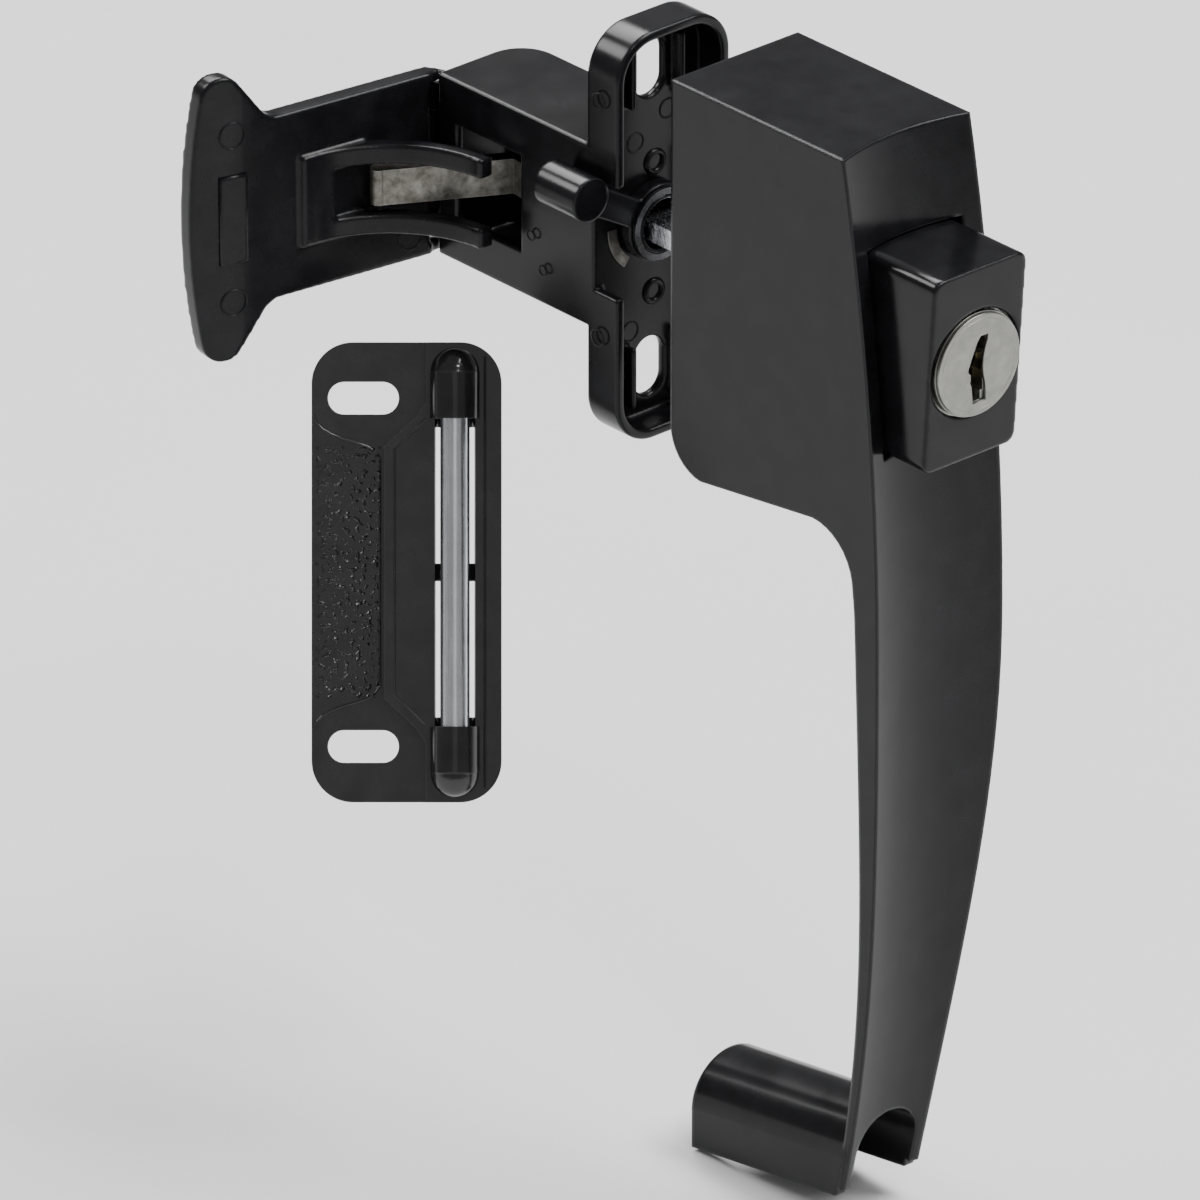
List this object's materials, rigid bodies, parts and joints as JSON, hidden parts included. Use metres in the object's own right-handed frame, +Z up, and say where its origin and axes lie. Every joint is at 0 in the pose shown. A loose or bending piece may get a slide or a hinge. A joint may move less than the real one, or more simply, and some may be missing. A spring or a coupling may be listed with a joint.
{
  "type": "push-button door latch set",
  "caption": "Black diecast screen-door latch set: bowed pull handle with a locking square push button, inside latch case with a flared lever, and a slotted strike plate with a roller pin.",
  "frame": {"origin": "on the spindle's axis, at the plane of the latch case's door face", "axes": "+Z up, +Y into the room along the spindle, +X to the right as seen from outside"},
  "size_m": [0.0636, 0.1068, 0.1631],
  "materials": {
    "gloss_black": "gloss black paint on diecast zinc",
    "satin_black": "semi-gloss black paint on diecast zinc",
    "bright_steel": "bright zinc plate, faint draw lines",
    "plated_steel": "zinc plate",
    "spring_steel": "oiled spring steel",
    "satin_nickel": "satin nickel plate",
    "bare_zinc": "mottled bare diecast zinc",
    "brass": "bare stamped brass"
  },
  "bodies": {
    "frame": {"handle_casting": "gloss_black", "button_retainer": "plated_steel", "retainer_clips": "plated_steel", "latch_case": "satin_black", "lever_pin": "plated_steel", "bolt_pin": "plated_steel", "bolt_spring": "spring_steel", "night_lock_washer": "spring_steel", "detent_spring": "spring_steel"},
    "button": {"push_button": "gloss_black", "button_base": "plated_steel", "button_spring": "spring_steel", "spindle": "bright_steel", "spindle_pin": "bright_steel", "lock_shell": "satin_nickel"},
    "plug": {"lock_plug": "satin_nickel", "lock_wafers": "brass", "plug_clip": "plated_steel", "locking_cam": "bare_zinc"},
    "lever": {"inside_lever": "satin_black"},
    "bolt": {"latch_bolt": "bare_zinc"},
    "night_lock": {"night_lock_arm": "satin_black"},
    "strike": {"strike_plate": "satin_black"},
    "roller": {"roller_pin": "bright_steel"}
  },
  "joints": [
    {"name": "button_push", "type": "slide", "parent": "frame", "child": "button", "axis": [0, 1, 0], "range_m": [0, 0.0025], "stiffness_N_per_m": 1200, "springref_m": -0.002, "deforming": ["button_spring"]},
    {"name": "key_turn", "type": "hinge", "parent": "button", "child": "plug", "pos_m": [0, -0.0599, 0.0015], "axis": [0, -1, 0], "range_deg": [0, 90]},
    {"name": "lever_swing", "type": "hinge", "parent": "frame", "child": "lever", "pos_m": [-0.0082, 0.0395, 0], "axis": [0, 0, 1], "range_deg": [0, 12]},
    {"name": "bolt_swing", "type": "hinge", "parent": "frame", "child": "bolt", "pos_m": [-0.005, 0.014, 0], "axis": [0, 0, 1], "range_deg": [0, 20]},
    {"name": "night_lock_turn", "type": "hinge", "parent": "frame", "child": "night_lock", "pos_m": [0, 0.003, 0], "axis": [0, -1, 0], "range_deg": [0, 50]},
    {"name": "strike_adjust", "type": "slide", "parent": "frame", "child": "strike", "axis": [0.747, -0.6648, 0], "range_m": [-0.0026, 0.0026]},
    {"name": "roller_spin", "type": "hinge", "parent": "strike", "child": "roller", "pos_m": [-0.02826, 0.01258, -0.04698], "axis": [0.2987, 0.3356, 0.8934], "continuous": true}
  ],
  "couplings": [
    {"joint": "bolt_swing", "follows": "button_push", "rad_per_m": 139.6},
    {"joint": "lever_swing", "follows": "button_push", "rad_per_m": 83.7}
  ]
}
